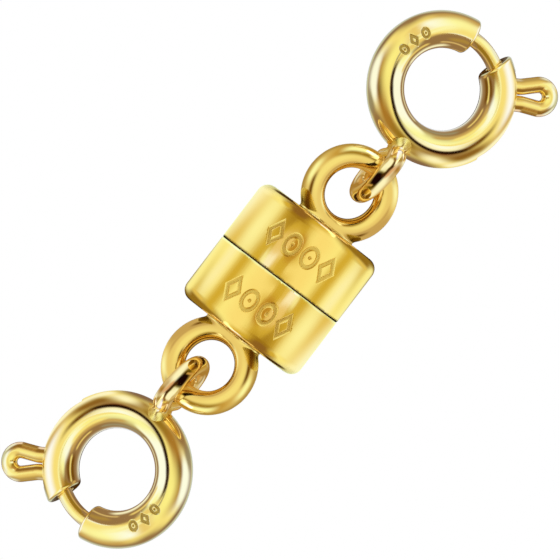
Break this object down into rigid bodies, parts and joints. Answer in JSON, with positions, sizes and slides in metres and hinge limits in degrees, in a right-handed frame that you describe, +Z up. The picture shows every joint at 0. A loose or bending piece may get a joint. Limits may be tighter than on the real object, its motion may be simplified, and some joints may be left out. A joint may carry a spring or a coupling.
{
  "type": "magnetic clasp with two spring rings",
  "caption": "Magnetic barrel clasp in polished gold finish: two round cups with magnets, each with an end ring, a soldered link and a spring ring with a thumb loop",
  "frame": {"origin": "on the table under the middle of the seam between the two cups, where the clasp lies closed", "axes": "+X along the barrel towards spring ring A, +Z up from the table; half B is half A turned by 180 degrees about Z"},
  "size_m": [0.0248, 0.0088, 0.0054],
  "materials": {
    "gold_cup": "polished, gold plated silver",
    "gold_ring": "polished, gold plated silver",
    "gold_wire": "polished, gold plated silver",
    "magnet": "bright nickel plating"
  },
  "bodies": {
    "half_a": {"cup_a": "gold_cup", "magnet_a": "magnet", "spring_ring_a": "gold_ring"},
    "half_b": {"cup_b": "gold_cup", "magnet_b": "magnet", "spring_ring_b": "gold_ring"},
    "bolt_a": {"bolt_a": "gold_wire"},
    "bolt_b": {"bolt_b": "gold_wire"}
  },
  "joints": [
    {"name": "pull_apart", "type": "slide", "parent": "half_a", "child": "half_b", "axis": [-1, 0, 0], "range_m": [0, 0.008], "stiffness_N_per_m": 1, "springref_m": -0.03},
    {"name": "bolt_a_turn", "type": "hinge", "parent": "half_a", "child": "bolt_a", "pos_m": [0.00945, -0.00053, 0.00168], "axis": [-0.194, 0.2546, -0.9474], "range_deg": [0, 41], "stiffness_Nm_per_rad": 0.000008, "springref_deg": -10},
    {"name": "bolt_b_turn", "type": "hinge", "parent": "half_b", "child": "bolt_b", "pos_m": [-0.00945, 0.00053, 0.00168], "axis": [0.194, -0.2546, -0.9474], "range_deg": [0, 41], "stiffness_Nm_per_rad": 0.000008, "springref_deg": -10}
  ]
}
